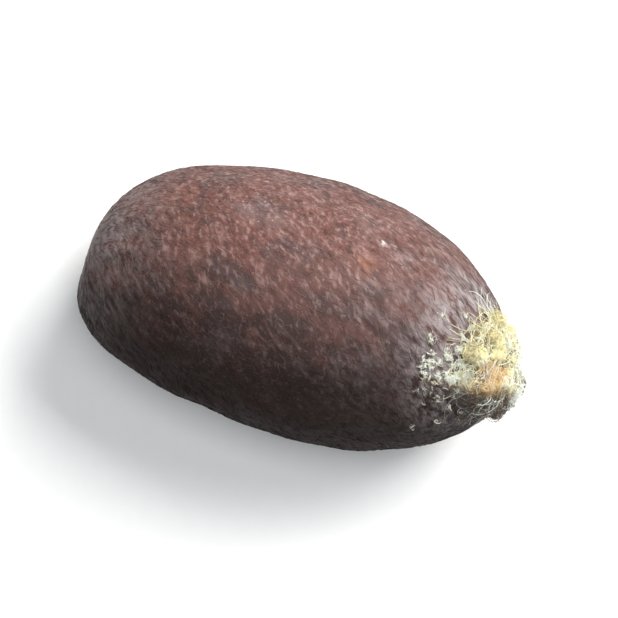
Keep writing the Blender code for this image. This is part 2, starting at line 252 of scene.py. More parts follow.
class StageSettings(bpy.types.PropertyGroup):
    """The floor, the light and the camera."""

    paper: bpy.props.FloatVectorProperty(
        name="Paper", description="Colour of the floor",
        **COLOUR, default=(0.90, 0.90, 0.90))
    turn: bpy.props.FloatProperty(
        name="Camera turn", description="Turn of the camera about the line of sight",
        subtype="ANGLE", default=math.radians(16.5))
    view_width: bpy.props.FloatProperty(
        name="View width", description="Width that the camera sees at the seed's middle",
        subtype="DISTANCE", unit="LENGTH", precision=4, default=0.0126)
    key: bpy.props.FloatProperty(
        name="Key light", description="Power of the soft main light",
        subtype="POWER", unit="POWER", min=0, default=0.25)
    top: bpy.props.FloatProperty(
        name="Top light", description="Power of the soft light straight above",
        subtype="POWER", unit="POWER", min=0, default=0.26)
    sky: bpy.props.FloatProperty(
        name="Sky light", description="Strength of the even light from all round",
        min=0, max=5, default=0.06)


class SeedSettings(bpy.types.PropertyGroup):
    """All settings of the seed."""

    coat: bpy.props.PointerProperty(type=CoatSettings)
    nap: bpy.props.PointerProperty(type=NapSettings)
    lint: bpy.props.PointerProperty(type=LintSettings)
    stage: bpy.props.PointerProperty(type=StageSettings)


def smooth_step(low, high, value):
    """0 below low, 1 above high, and 3s² - 2s³ of the share s between them."""
    share = np.clip((value - low) / (high - low), 0.0, 1.0)
    return share * share * (3 - 2 * share)


def bell(distance, half_width):
    """e to the minus square of distance over half width."""
    return np.exp(-((distance / half_width) ** 2))


def unit(vectors):
    """Vectors divided by their own lengths."""
    return vectors / np.linalg.norm(vectors, axis=-1, keepdims=True)


def angle_between(turn, other):
    """The signed turn from other to turn, within half a turn either way."""
    return (turn - other + math.pi) % (2 * math.pi) - math.pi


def ripples(points, wavelength, seed, waves=26):
    """Gentle lumps: the sum of sine waves in random directions, each about one wavelength long."""
    draw = np.random.default_rng(seed)
    ways = unit(draw.normal(size=(waves, 3)))
    ways = ways * draw.uniform(0.7, 1.4, (waves, 1)) * (2 * math.pi / wavelength)
    starts = draw.uniform(0, 2 * math.pi, waves)
    return np.sin(points @ ways.T + starts).sum(axis=-1) / math.sqrt(waves / 2)


def plain_radius(t):
    """The outline as a share of the half width: (1 - t²) to a power that grows with t."""
    ease = smooth_step(POINT_BEGINS, POINT_ENDS, t)
    power = BROAD_END_FULLNESS + (POINT_FULLNESS - BROAD_END_FULLNESS) * ease
    return np.clip(1 - t * t, 0.0, 1.0) ** power


def plain_point(t, turn):
    """The coat with no relief: ovals stacked along an axis whose two ends bow to -Y."""
    radius = plain_radius(t)
    x = t * LENGTH / 2 + 0 * turn
    y = radius * np.cos(turn) * WIDTH / 2 + SIDE_BOW * t**4
    z = radius * np.sin(turn) * (1 + BACK_RISE * np.sin(turn)) * THICKNESS / 2
    return np.stack([x, y, z + BELLY_STRAIGHTNESS * t * t], axis=-1)


def far_from(t, turn, place_t, place_turn):
    """Straight distance from a spot on the plain coat."""
    place = plain_point(np.float64(place_t), np.float64(place_turn))
    return np.linalg.norm(plain_point(t, turn) - place, axis=-1)


def across_raphe(t, turn):
    """Distance round the coat from the raphe, which wavers a little along its way."""
    place = RAPHE_TURN + RAPHE_WAVER * np.sin(2.2 * t + 0.6)
    return angle_between(turn, place) * plain_radius(t) * WIDTH / 2


def raphe_there(t):
    """1 along the raphe, fading to 0 at its two ends."""
    start = smooth_step(RAPHE_STARTS, RAPHE_STARTS + 0.12, t)
    return start * (1 - smooth_step(RAPHE_ENDS - 0.05, RAPHE_ENDS, t))


def relief(t, turn):
    """Raphe, groove, chalaza, beak, dents and ribs, each a bell or a wave, as in the source."""
    across = across_raphe(t, turn)
    ridge = RAPHE_HEIGHT * bell(across, RAPHE_HALF_WIDTH)
    groove = RAPHE_GROOVE_DEPTH * bell(across + RAPHE_GROOVE_OFFSET, RAPHE_HALF_WIDTH)
    total = (ridge - groove) * raphe_there(t)
    away = far_from(t, turn, CHALAZA_PLACE, RAPHE_TURN)
    total = total + CHALAZA_RIM * bell(away - CHALAZA_RADIUS, CHALAZA_RADIUS / 4)
    total = total - CHALAZA_DISH * bell(away, CHALAZA_RADIUS / 1.4)
    total = total + BEAK_LENGTH * bell(far_from(t, turn, 1.0, 0.0), BEAK_RADIUS)
    for dent_t, degrees, radius, depth in DENTS:
        total = total - depth * bell(far_from(t, turn, dent_t, math.radians(degrees)), radius)
    waver = 0.25 * np.sin(1.7 * t)
    for count, height, degrees in RIBS:
        wave = np.cos(count * (turn + waver) + math.radians(degrees))
        total = total + height * wave * plain_radius(t)
    return total


def slopes(t, turn):
    """How the plain coat runs along t and along turn, over a small step either way."""
    along = plain_point(t + SLOPE_STEP, turn) - plain_point(t - SLOPE_STEP, turn)
    around = plain_point(t, turn + SLOPE_STEP) - plain_point(t, turn - SLOPE_STEP)
    return along, around


def plain_normal(t, turn):
    """The outward direction of the plain coat, from the cross product of its two slopes."""
    along, around = slopes(np.clip(t, -1 + 2 * SLOPE_STEP, 1 - 2 * SLOPE_STEP), turn)
    return unit(np.cross(around, along))


def above_coat(t, turn, height):
    """Points at that height above the coat's relief."""
    t, turn, height = np.broadcast_arrays(*map(np.float64, (t, turn, height)))
    lift = relief(t, turn) + height
    return plain_point(t, turn) + plain_normal(t, turn) * lift[..., None]


def lie(points):
    """Turns points of the seed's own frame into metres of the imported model, above the floor."""
    turn = np.array(LIE_TURN.to_matrix())
    placed = (points @ turn.T + np.array(LIE_PLACE)) * MM
    placed[..., 2] = np.maximum(placed[..., 2], 0.0)
    return placed


def fill_mesh(name, points, quads, triangles):
    """A new object from arrays of points, four-cornered faces and three-cornered faces."""
    mesh = bpy.data.meshes.new(name)
    points = points.reshape(-1, 3)
    corners = np.concatenate([triangles.ravel(), quads.ravel()]).astype(np.int32)
    starts = np.concatenate(
        [np.arange(len(triangles)) * 3, triangles.size + np.arange(len(quads)) * 4])
    mesh.vertices.add(len(points))
    mesh.vertices.foreach_set("co", points.astype(np.float32).ravel())
    mesh.loops.add(len(corners))
    mesh.loops.foreach_set("vertex_index", corners)
    mesh.polygons.add(len(starts))
    mesh.polygons.foreach_set("loop_start", starts.astype(np.int32))
    mesh.update(calc_edges=True)
    mesh.validate()
    mesh.shade_smooth()
    obj = bpy.data.objects.new(name, mesh)
    bpy.context.scene.collection.objects.link(obj)
    return obj


def closed_skin(name, start, rings, end):
    """A closed surface: rows of points as rings, joined in a fan to a point at each end."""
    rows, sides = rings.shape[:2]
    k = np.arange(sides)
    after = (k + 1) % sides
    row = np.arange(rows - 1)[:, None] * sides + 1
    quads = np.stack([row + k, row + after, row + after + sides, row + k + sides], axis=-1)
    last = 1 + (rows - 1) * sides
    end_index = last + sides
    fans = [
        np.stack([0 * k, 1 + after, 1 + k], axis=-1),
        np.stack([0 * k + end_index, last + k, last + after], axis=-1),
    ]
    points = np.concatenate([start.reshape(1, 3), rings.reshape(-1, 3), end.reshape(1, 3)])
    return fill_mesh(name, points, quads.reshape(-1, 4), np.concatenate(fans))


def put_attribute(obj, name, values):
    """Stores an array of three numbers for each point as a vector attribute."""
    layer = obj.data.attributes.new(name, "FLOAT_VECTOR", "POINT")
    layer.data.foreach_set("vector", values.astype(np.float32).ravel())


def strands(name, paths, radii, tones, sides=None):
    """Tapered three-sided strands along paths of points, closed at both ends.

    At each point of a path, three corners stand round it at the radius, on axes square to the
    path. The attribute strand holds the share of the way along, the tone and the share of painted
    light on the coat where the strand roots.
    """
    count, rings = paths.shape[:2]
    way = unit(np.gradient(paths, axis=1))
    aside = unit(np.cross(way.mean(axis=1, keepdims=True) + 0 * way, [0.31, 0.52, 0.79]))
    aside = unit(aside - way * (aside * way).sum(axis=-1, keepdims=True))
    up = np.cross(way, aside)
    angles = np.arange(3) * (2 * math.pi / 3)
    spokes = aside[:, :, None] * np.cos(angles)[:, None] + up[:, :, None] * np.sin(angles)[:, None]
    points = paths[:, :, None] + spokes * radii[:, :, None, None]
    k = np.arange(3)
    row = (np.arange(count) * rings * 3)[:, None, None] + (np.arange(rings - 1) * 3)[None, :, None]
    quads = np.stack([row + k, row + (k + 1) % 3, row + (k + 1) % 3 + 3, row + k + 3], axis=-1)
    first = np.arange(count)[:, None] * rings * 3
    triangles = np.concatenate([first + [0, 2, 1], first + (rings - 1) * 3 + [0, 1, 2]])
    obj = fill_mesh(name, lie(points), quads.reshape(-1, 4), triangles)
    share = np.linspace(0, 1, rings)[None, :, None]
    sides = np.zeros(count) if sides is None else sides
    marks = np.stack(
        np.broadcast_arrays(share, tones[:, None, None], sides[:, None, None]), axis=-1)
    put_attribute(obj, "strand", np.repeat(marks.reshape(count, rings, 1, 3), 3, axis=2))
    return obj


class Wire:
    """A node's output, on which the operators add Math nodes."""

    def __init__(self, graph, output):
        self.graph, self.output = graph, output

    def __add__(self, other):
        return self.graph.maths("ADD", self, other)

    def __radd__(self, other):
        return self.graph.maths("ADD", other, self)

    def __sub__(self, other):
        return self.graph.maths("SUBTRACT", self, other)

    def __rsub__(self, other):
        return self.graph.maths("SUBTRACT", other, self)

    def __mul__(self, other):
        return self.graph.maths("MULTIPLY", self, other)

    def __rmul__(self, other):
        return self.graph.maths("MULTIPLY", other, self)

    def __pow__(self, other):
        return self.graph.maths("POWER", self, other)


class Finish:
    """A material's nodes, built one by one round its Principled shader."""

    def __init__(self, name, roughness=0.5, **even):
        self.material = bpy.data.materials.new(name)
        self.material.use_nodes = True
        self.tree = self.material.node_tree
        self.shader = self.tree.nodes["Principled BSDF"]
        self.shader.inputs["Roughness"].default_value = roughness
        for socket, value in even.items():
            self.shader.inputs[socket.replace("_", " ")].default_value = value

    def connect(self, socket, value):
        """Feeds a socket from a wire, or sets it to a value."""
        if isinstance(value, Wire):
            self.tree.links.new(value.output, socket)
        elif socket.type == "RGBA":
            socket.default_value = (*tuple(value)[:3], 1)
        else:
            socket.default_value = value

    def node(self, kind, settings=None, values=None, output=0):
        """Adds a node of a kind, sets it up, feeds its sockets and gives one output."""
        made = self.tree.nodes.new("ShaderNode" + kind)
        for key, value in (settings or {}).items():
            setattr(made, key, value)
        for key, value in (values or {}).items():
            self.connect(made.inputs[key], value)
        return Wire(self, made.outputs[output])

    def maths(self, operation, first, second):
        return self.node("Math", {"operation": operation}, {0: first, 1: second})

    def mix(self, factor, first, second):
        """A colour between two, by a factor from 0 to 1."""
        settings = {"data_type": "RGBA", "clamp_factor": True}
        return self.node("Mix", settings, {0: factor, 6: first, 7: second}, output=2)

    def layers(self, colour, *tints):
        """Lays tints over a colour one after another, each by its own share from 0 to 1."""
        for share, tint in tints:
            colour = self.mix(share, colour, tint)
        return colour

    def ease(self, value, low, high, to_low=0.0, to_high=1.0):
        """Maps low to high smoothly onto another range, clamped."""
        values = {"Value": value, 1: low, 2: high, 3: to_low, 4: to_high}
        return self.node("MapRange", {"interpolation_type": "SMOOTHSTEP"}, values)

    def place(self, stretch=(1, 1, 1), shift=(0, 0, 0), turn=0.0):
        """Object coordinates in millimetres: shifted, turned about Z, then drawn out by stretch."""
        values = {
            "Vector": self.node("TexCoord", output="Object"),
            "Location": tuple(part * MM for part in shift),
            "Rotation": (0, 0, turn),
            "Scale": tuple(part * MM for part in stretch),
        }
        return self.node("Mapping", {"vector_type": "TEXTURE"}, values)

    def axes(self, vector):
        """The three parts of a vector."""
        return [self.node("SeparateXYZ", values={0: vector}, output=axis) for axis in "XYZ"]

    def spot(self, place, x, y, radius):
        """1 at a point seen from above and 0 beyond radius, in millimetres."""
        across, up, _ = self.axes(place)
        away = ((across - x) ** 2 + (up - y) ** 2) ** 0.5
        return self.ease(away, radius, 0.0)

    def noise(self, place, scale, detail=2.0, roughness=0.5):
        """Cloudy noise, scale lumps a millimetre."""
        values = {"Vector": place, "Scale": scale, "Detail": detail, "Roughness": roughness}
        return self.node("TexNoise", values=values, output="Fac")

    def cells(self, place, scale):
        """Distance from the middles of scattered cells, scale cells a millimetre."""
        values = {"Vector": place, "Scale": scale}
        return self.node("TexVoronoi", values=values, output="Distance")

    def attribute(self, name):
        """The three parts of a vector attribute."""
        return self.axes(self.node("Attribute", {"attribute_name": name}, output="Vector"))

    def finish(self, colour, roughness=None, height=None, strength=0.5, reach=0.02):
        """Feeds the shader. Height bumps the surface by up to reach millimetres."""
        self.connect(self.shader.inputs["Base Color"], colour)
        if roughness is not None:
            self.connect(self.shader.inputs["Roughness"], roughness)
        if height is not None:
            values = {"Strength": strength, "Distance": reach * MM, "Height": height}
            self.connect(self.shader.inputs["Normal"], self.node("Bump", values=values))
        return self.material


def coat_ground(f, settings, painted_light):
    """The coat's browns, mottled red and mauve, with painted light and shade: lighter and redder on
    its upper +Y side, and pulled towards dark brown on its lower side.
    """
    clouds = f.noise(f.place(shift=(1, 4, 2)), 0.5, detail=2)
    patches = f.noise(f.place(stretch=(1.4, 1, 1), shift=(7, 3, 1)), 1.5, detail=4, roughness=0.65)
    flow = f.noise(f.place(stretch=(3, 1, 1), shift=(4, 0, 6), turn=-COMB_TURN), 2.6, detail=3)
    # Painted light: the tone and the red rise with the share of painted light on the upper side
    tone = clouds * 0.30 + flow * 0.30 + painted_light * 0.45
    mottle = patches * 0.7 + flow * 0.4
    return f.layers(
        f.mix(f.ease(tone, 0.10, 0.70), settings.dark, settings.brown),
        (f.ease(mottle + painted_light * 0.35, 0.72, 0.92), settings.red),
        (f.ease(mottle, 0.56, 0.38) * (0.12 + 0.50 * painted_light), settings.mauve),
        # Painted shade: the lower side is pulled towards dark brown
        (f.ease(painted_light, 1.04, 0.42) * 0.95, settings.dark))


def coat_finish(settings):
    """Dark red-brown skin: mottled, streaked and flecked the way the nap lies, with a faint gloss.

    Painted light lightens the upper +Y side and painted shade darkens the lower. Grey bloom
    thickens towards the lint; on the broad end it is a painted sheen. The pale marks show only
    where the painted light is bright, as painted highlights. The raphe's ridge gets a painted
    highlight and its groove painted shade.
    """
    f = Finish("seed_coat", Specular_IOR_Level=0.12, Sheen_Weight=0.02, Sheen_Roughness=0.35)
    f.shader.inputs["Sheen Tint"].default_value = (1.0, 0.90, 0.88, 1)
    ridge, scar, grey = f.attribute("marks")
    # The third part of tints is the share of painted light, high on the upper +Y side
    warm, speck, painted_light = f.attribute("tints")
    veil = f.noise(f.place(shift=(9, 2, 5)), 0.9, detail=3)
    streaks = f.noise(f.place(stretch=(3.2, 1, 1), turn=-COMB_TURN), 7.0, detail=3, roughness=0.6)
    grain = f.noise(f.place(stretch=(1.6, 1, 1), shift=(2, 9, 4)), 20, detail=2, roughness=0.6)
    cells = f.cells(f.place(stretch=(1.5, 1, 1), turn=-COMB_TURN), 13)
    pricks = f.cells(f.place(shift=(5, 5, 5)), 4.5)
    fleck_place = f.place(stretch=(2.2, 1, 1), shift=(6, 6, 2), turn=-1.6 * COMB_TURN)
    flecks = f.noise(fleck_place, 11, detail=2)
    # Painted highlight: the pale marks show only where the painted light peaks
    painted_light_peak = painted_light ** 3
    dots = f.ease(pricks, 0.11, 0.05) * f.ease(veil, 0.44, 0.58)
    colour = f.layers(
        coat_ground(f, settings, painted_light),
        (f.ease(streaks, 0.52, 0.70) * painted_light_peak * 0.50, PALE_STREAKS),
        (f.ease(streaks, 0.48, 0.33) * (0.12 + 0.34 * painted_light_peak), settings.dark),
        (f.ease(flecks, 0.54, 0.70) * painted_light_peak * 0.46, PALE_FLECKS),
        (f.ease(flecks, 0.46, 0.34) * (0.06 + 0.32 * painted_light_peak), settings.dark),
        (f.ease(grain, 0.55, 0.72) * 0.22 * painted_light, PALE_GRAIN),
        # Grey bloom and the broad end's painted sheen, shown only where the painted light falls
        (f.ease(veil, 0.54, 0.72) * 0.14 * painted_light, settings.bloom_and_sheen),
        (grey * f.ease(streaks, 0.32, 0.60) * painted_light, settings.bloom_and_sheen),
        (dots * painted_light_peak * 0.6, PALE_DOTS),
        (warm * f.ease(streaks, 0.30, 0.60) * 0.60, WARM_COLOUR),
        (speck, SPECK_COLOUR),
        # Painted highlight on the raphe's ridge, and painted shade in its groove
        (f.ease(ridge, 0.25, 1.0) * 0.50, PAINTED_RIDGE_HIGHLIGHT),
        (f.ease(ridge, -0.2, -0.9) * 0.75, settings.dark),
        (scar * 0.75, SCAR_COLOUR))
    roughness = f.ease(grain + streaks, 0.7, 1.3, 0.40, 0.58) + scar * 0.2 + 0.4 * (1 - painted_light)
    height = f.ease(cells, 0.0, 0.45) * 0.4 + grain * 0.4 + streaks * 0.5
    return f.finish(colour, roughness, height, strength=0.5, reach=0.012)


def nap_finish(coat, nap):
    """Short flat hairs in the coat's own browns, with its painted light and shade.

    Some are paler, and show most where the painted light peaks, as painted highlights.
    """
    f = Finish("nap", Specular_IOR_Level=0.1)
    _, tone, painted_light = f.attribute("strand")
    # Painted light and shade as on the coat; pale hairs and tint are painted highlights where it
    # peaks
    painted_light_peak = painted_light ** 3
    ground = f.mix(0.16 * painted_light_peak, coat_ground(f, coat, painted_light), nap.pale)
    colour = f.mix(f.ease(tone, 0.45, 1.0) * (0.02 + 0.62 * painted_light_peak), ground, nap.pale)
    return f.finish(colour, roughness=0.5 + 0.4 * (1 - painted_light))


def lint_colours(f, settings, tone):
    """Cream, white in some fibres, with a ragged tan heart and a white painted highlight at the far
    end.

    The darkest fibres are dark gold. Painted shade lies low on the -Y side: gold, then umber, in
    all but the palest.
    """
    place = f.place()
    drift = f.noise(place, 3.0, detail=4, roughness=0.65) - 0.5
    along, side, _ = f.axes(place)
    heart = f.spot(place, *TAN_HEART, TAN_HEART_RADIUS) * 0.84 + drift * 1.6
    # Painted shade: low on the -Y side, where the tuft is in shadow, fibres turn gold, then umber
    low = side - along * 0.12 + drift * 0.6
    shade_share = f.ease(tone, 0.97, 0.85)
    # Painted highlight: white on the far end of the tuft, its lit edge
    highlight_end = f.ease(along + side * 0.2 + drift * 0.6, *WHITE_HIGHLIGHT_END)
    return f.layers(
        f.mix(f.ease(tone, 0.55, 0.85), settings.cream, settings.white),
        (f.ease(heart, 0.20, 0.70) * f.ease(tone, 0.95, 0.60) * 0.9, settings.tan),
        (f.ease(tone, 0.26, 0.10) * 0.8, settings.gold),
        (f.ease(low, *GOLD_SHADE_SIDE) * shade_share, settings.gold),
        (f.ease(low, *UMBER_SHADE_SIDE) * shade_share, settings.umber),
        (highlight_end * f.ease(tone, 0.10, 0.45), settings.white))


def lint_finish(settings):
    """Soft fibres in the lint's colours."""
    f = Finish("lint", roughness=0.8, Sheen_Weight=0.25, Sheen_Roughness=0.4)
    _, tone, _ = f.attribute("strand")
    return f.finish(lint_colours(f, settings, tone))


def felt_finish(settings):
    """The mat under the fibres: the same colours, with painted shade in the gaps between its
    clumps.
    """
    f = Finish("lint_felt", roughness=0.9, Sheen_Weight=0.2)
    crest, _, _ = f.attribute("crest")
    hollows = f.noise(f.place(), 9, detail=4, roughness=0.7)
    colour = lint_colours(f, settings, hollows)
    # Painted shade: umber where the mat is low between the clumps and in the noise's hollows
    colour = f.mix(f.ease(crest + hollows * 0.6, 0.75, 0.25) * 0.92, colour, settings.umber)
    return f.finish(colour, height=hollows, strength=0.9, reach=0.06)


def paper_finish(settings):
    """White paper with a hint of its fibres."""
    f = Finish("paper", roughness=0.9, Specular_IOR_Level=0.2)
    grain = f.noise(f.place(), 3, detail=4, roughness=0.7)
    paler = [part * 0.985 for part in settings.paper]
    return f.finish(f.mix(f.ease(grain, 0.3, 0.7), paler, settings.paper), height=grain,
                    strength=0.1, reach=0.02)


def fine_relief(t, turn, wrinkle_depth):
    """Slow lumps, wrinkles stretched along the seed and small pits, less at the two ends."""
    place = plain_point(t, turn)
    calm = smooth_step(1.0, 0.93, np.abs(t))
    slow = LUMP_HEIGHT * ripples(place, LUMP_LENGTH, seed=3)
    wrinkles = wrinkle_depth * ripples(place * [0.2, 1, 1], WRINKLE_LENGTH, seed=5)
    pits = -1.2 * wrinkle_depth * np.maximum(ripples(place, PIT_LENGTH, seed=11) - 1.1, 0)
    return (slow + wrinkles + pits) * calm


def above_skin(t, turn, height):
    """Points at that height above the finely wrinkled coat."""
    depth = settings_of(bpy.context).coat.wrinkle_depth
    return above_coat(t, turn, fine_relief(t, turn, depth) + height)


def near_mark(t, turn, place, radius):
    """1 on a mark at (t, turn in degrees), falling to 0 round it."""
    return bell(far_from(t, turn, place[0], math.radians(place[1])), radius)


def coat_marks(t, turn):
    """For each point: ridge over groove of the raphe, the scar, and how thick the grey bloom is,
    with its painted sheen on the broad end.
    """
    across = across_raphe(t, turn)
    ridge = bell(across, 0.6 * RAPHE_HALF_WIDTH)
    groove = bell(across + RAPHE_GROOVE_OFFSET, 0.8 * RAPHE_HALF_WIDTH)
    scar = bell(far_from(t, turn, CHALAZA_PLACE, RAPHE_TURN), 0.9 * CHALAZA_RADIUS)
    away = far_from(t, turn, 0.88, LINT_SIDE)
    bloom_and_sheen = BLOOM_RING * smooth_step(2.3, 1.2, away) * smooth_step(0.4, 1.2, away)
    bloom_and_sheen = bloom_and_sheen + BLOOM_WIDE * smooth_step(4.5, 1.0, away)
    # Painted sheen: grey on the broad end
    bloom_and_sheen = bloom_and_sheen + PAINTED_SHEEN_END * smooth_step(-0.55, -0.97, t)
    return np.stack([(ridge - groove) * raphe_there(t), scar, bloom_and_sheen], axis=-1)


def painted_light_share(t, turn):
    """From 0 to 1, the share of painted light at a spot: high on the upper +Y side, where the light
    falls, low on the lower side, and raised a little on the broad end.
    """
    side = 0.5 + 0.5 * np.cos(turn - PAINTED_LIGHT_TURN) * plain_radius(t)
    return side + 0.12 * smooth_step(-0.70, -0.97, t)


def coat_tints_and_light(t, turn):
    """For each point: the warm tints, the pale speck, and the share of painted light."""
    warm = near_mark(t, turn, WARM_SPOT, WARM_SPOT_RADIUS)
    warm = warm + OCHRE_TINT_SHARE * near_mark(t, turn, OCHRE_TINT, OCHRE_TINT_RADIUS)
    speck = near_mark(t, turn, PALE_SPECK, PALE_SPECK_RADIUS)
    return np.stack([warm, speck, painted_light_share(t, turn)], axis=-1)


def settings_of(context):
    return context.scene.cotton_seed


class SEED_OT_coat(bpy.types.Operator):
    """Builds the coat's fine surface and puts it in place of its solid"""

    bl_idname = "cotton_seed.coat"
    bl_label = "Seed coat"

    def execute(self, context):
        """Rings of points, closer together at both ends, with points closer at the raphe."""
        settings = settings_of(context).coat
        even = np.arange(settings.around) * (2 * math.pi / settings.around)
        turn = RAPHE_TURN + even[None, :] - 0.35 * np.sin(even[None, :])
        steps = np.arange(1, settings.along + 1)[:, None] / (settings.along + 1)
        t = -np.cos(math.pi * steps) + 0 * turn
        turn = turn + 0 * t
        ends = [above_coat(end, RAPHE_TURN, 0.0) for end in (-1.0, 1.0)]
        coat = closed_skin("coat", lie(ends[0]), lie(above_skin(t, turn, 0.0)), lie(ends[1]))
        for name, rule in (("marks", coat_marks), ("tints", coat_tints_and_light)):
            values = rule(t, turn).reshape(-1, 3)
            put_attribute(coat, name, np.concatenate([values[:1], values, values[-1:]]))
        coat.data.materials.append(coat_finish(settings))
        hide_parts("seed_coat")
        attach(coat, "root")
        return {"FINISHED"}


def run_over(t, turn, gone, way):
    """Where paths lead that leave (t, turn) and run a distance over the coat, at an angle.

    At angle 0 they run to the point. The distance is shared out by the angle's cosine and sine, and
    divided by the coat's own slopes at the root.
    """
    slope_t, slope_turn = (np.linalg.norm(slope, axis=-1) for slope in slopes(t, turn))
    t_path = t[:, None] + gone * np.cos(way) * (2 * SLOPE_STEP / slope_t)[:, None]
    turn_path = turn[:, None] + gone * np.sin(way) * (2 * SLOPE_STEP / slope_turn)[:, None]
    return np.clip(t_path, -0.9995, 0.9995), turn_path


class SEED_OT_nap(bpy.types.Operator):
    """Lays two layers of short hairs flat on the coat, combed one way and toned in patches"""

    bl_idname = "cotton_seed.nap"
    bl_label = "Nap"

    def layer(self, name, settings, seed, material):
        """Hairs from random roots, which rise and sink again with a sine along their way."""
        draw = np.random.default_rng(seed)
        count = settings.hairs
        t = draw.uniform(-0.985, 0.985, count)
        turn = draw.uniform(0, 2 * math.pi, count)
        shortest, longest = settings.length
        lengths = shortest + (longest - shortest) * draw.random(count) ** 1.5
        way = COMB_TURN * (1 - 0.7 * np.cos(turn)) + draw.normal(0, NAP_STRAY, count)
        share = np.linspace(0, 1, 4)[None, :]
        gone = lengths[:, None] * share
        bend = draw.normal(0, NAP_BEND, (count, 1))
        t_path, turn_path = run_over(t, turn, gone, way[:, None] + bend * share)
        lift = draw.uniform(*NAP_LIFTS, (count, 1)) * np.sin(2.4 * share) - NAP_ROOT
        paths = above_skin(t_path, turn_path, lift)
        taper = np.array([0.7, 1.0, 0.8, 0.2])
        radii = settings.radius * draw.uniform(0.7, 1.3, count)[:, None] * taper
        patch = ripples(plain_point(t, turn) * [0.6, 1, 1], 0.8, seed=seed + 1)
        tones = np.clip(0.42 + 0.20 * patch + draw.normal(0, 0.22, count), 0, 1)
        hairs = strands(name, paths, radii, tones, painted_light_share(t, turn))
        hairs.data.materials.append(material)
        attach(hairs, "root")

    def execute(self, context):
        settings = settings_of(context).nap
        material = nap_finish(settings_of(context).coat, settings)
        for name, seed in zip(("nap_low", "nap_high"), NAP_SEEDS):
            self.layer(name, settings, seed, material)
        return {"FINISHED"}


def on_lint_side(turn):
    """How far a turn lies on the lint's side: 1 right on it, 0 across the seed from it."""
    return 0.5 + 0.5 * np.cos(turn - LINT_SIDE)


def cap_rim(turn):
    """Where the felted cap ends: a ragged line close round the point, with a tongue on one side."""
    waves = np.sin(5 * turn + 0.4) + 0.7 * np.sin(8 * turn + 2.1) + 0.5 * np.sin(13 * turn)
    tongue = on_lint_side(turn) ** CAP_TONGUE_SHARPNESS
    return CAP_RIM + CAP_RIM_RAGGED * waves / 2.2 - CAP_TONGUE_LENGTH * tongue


def cap_spot(turn, share):
    """t at a share of the way from the point to the cap's rim."""
    return np.cos(np.arccos(np.clip(cap_rim(turn), -1.0, 1.0)) * share)


def cap_share(t, turn):
    """The share of the way from the point to the cap's rim at a given t."""
    return np.arccos(np.clip(t, -1.0, 1.0)) / np.arccos(np.clip(cap_rim(turn), -1.0, 1.0))


def cap_height(turn, share):
    """The source's lumpy thickness of the cap."""
    lumps = 1 + 0.25 * np.sin(4 * turn + 9 * share) + 0.20 * np.sin(7 * turn - 7 * share)
    dome = CAP_RIM_THICKNESS + (CAP_THICKNESS - CAP_RIM_THICKNESS) * (1 - share**2)
    return CAP_GAP + dome * lumps


def draw_tuft():
    """The source's clumps and locks, by its own rules and in its own order of draws."""
    draw = random.Random(LINT_SEED)
    clumps, locks = [], []
    for _ in range(CLUMP_COUNT):
        turn = draw.vonmisesvariate(LINT_SIDE, CLUMP_SIDE_PULL)
        share = CLUMP_REACH * math.sqrt(draw.random())
        smallest, largest = CLUMP_RADII
        radius = (smallest + (largest - smallest) * min(share, 1.0)) * draw.uniform(0.75, 1.0)
        radius = radius * float(on_lint_side(turn)) ** CLUMP_FADE
        clumps.append((turn, share, radius))
    for _ in range(LOCK_COUNT):
        turn = draw.vonmisesvariate(LINT_SIDE, LOCK_SIDE_PULL)
        side = float(on_lint_side(turn))
        share = draw.random() ** 2 * side**2
        shortest, longest = LOCK_LENGTHS
        length = shortest + (longest - shortest) * share
        thickness = draw.uniform(*LOCK_THICKNESSES) * (1 - LOCK_FADE * (1 - side))
        stand = LOCK_STAND * draw.random() * (1 - share) ** 2
        rim = float(cap_rim(turn))
        root = rim + (1 - rim) * draw.random()
        locks.append((turn, length, thickness, stand, root, draw.uniform(-0.5, 0.5)))
    return np.array(clumps).T, np.array(locks).T


def clump_balls():
    """The middles and radii of the clumps."""
    turn, share, radius = draw_tuft()[0]
    return above_coat(cap_spot(turn, share), turn, CAP_GAP * 1.5 + radius), radius


def mat_height(t, turn):
    """The mat's height over the coat: the higher of the cap and the clumps' round tops.

    Along the coat's normal, a clump's top stands at its middle's height plus the root of its
    squared radius less the squared distance aside.
    """
    foot, normal = above_coat(t, turn, 0.0), plain_normal(t, turn)
    top = cap_height(turn, cap_share(t, turn))
    for middle, radius in zip(*clump_balls()):
        away = middle - foot
        up = (away * normal).sum(axis=-1)
        inside = radius**2 - ((away**2).sum(axis=-1) - up**2)
        top = np.maximum(top, np.where(inside > 0, up + np.sqrt(np.maximum(inside, 0)), 0))
    return top


def finish_lint(obj, material):
    """Gives a piece of the tuft its finish and its place in the model."""
    obj.data.materials.append(material)
    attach(obj, "root")


def lint_strands(name, paths, radii, tones, settings):
    """Fibres of lint along paths, finished."""
    finish_lint(strands(name, paths, radii, tones), lint_finish(settings))


def wiggle(draw, count, step, slow, fast):
    """A sine wave along each path, at a pace from slow to fast and with a start of its own."""
    return np.sin(step * draw.uniform(slow, fast, (count, 1)) + draw.uniform(0, 6.3, (count, 1)))


def swing(start, aside, bend):
    """Directions turned from start towards aside by an angle: their cosine and sine shares."""
    return start * np.cos(bend)[..., None] + aside * np.sin(bend)[..., None]


def spindle(s):
    """A thickness that is 1 in a fibre's middle and falls with the square of s to either end."""
    return 1 - 2.2 * s**2


